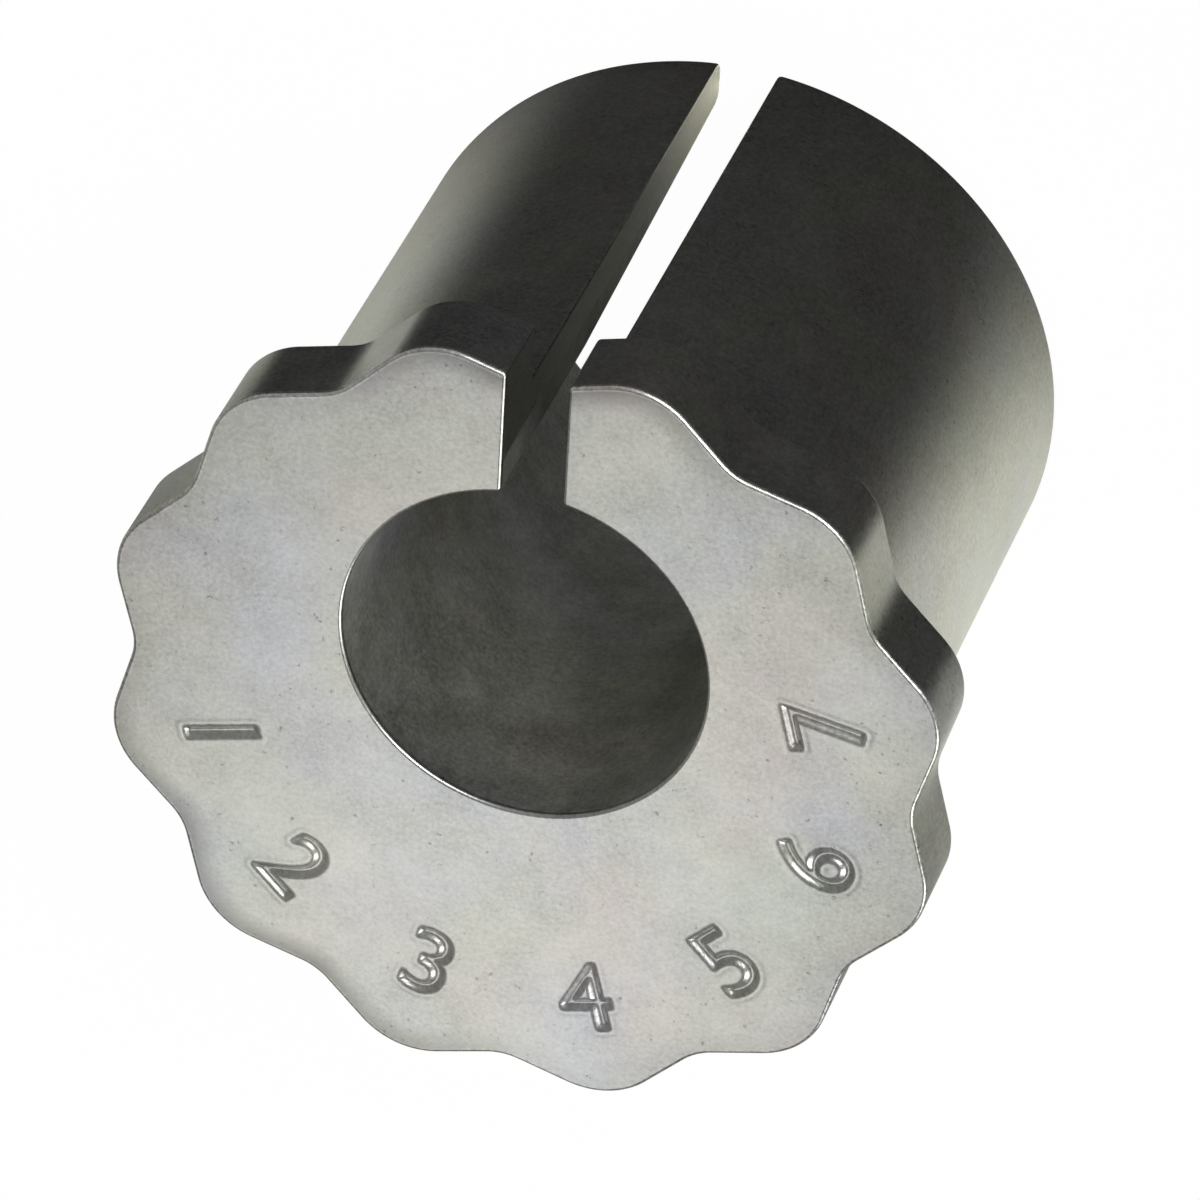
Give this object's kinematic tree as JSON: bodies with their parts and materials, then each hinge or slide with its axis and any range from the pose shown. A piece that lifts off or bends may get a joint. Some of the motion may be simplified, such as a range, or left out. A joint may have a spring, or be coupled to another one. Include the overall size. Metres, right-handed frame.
{
  "type": "camber sleeve",
  "caption": "Split steel sleeve with a lobed flange and an off-centre tapered bore, turned in an axle eye to set how a wheel leans.",
  "frame": {"origin": "on the sleeve's outer axis, in the plane of its far end", "axes": "+Z along the outer axis and out of the flange face, -Y through the middle of the slit"},
  "size_m": [0.043, 0.043, 0.0372],
  "materials": {
    "plated_steel": "satin zinc plate over turned steel"
  },
  "bodies": {
    "root": {"camber_sleeve": "plated_steel"}
  },
  "joints": []
}
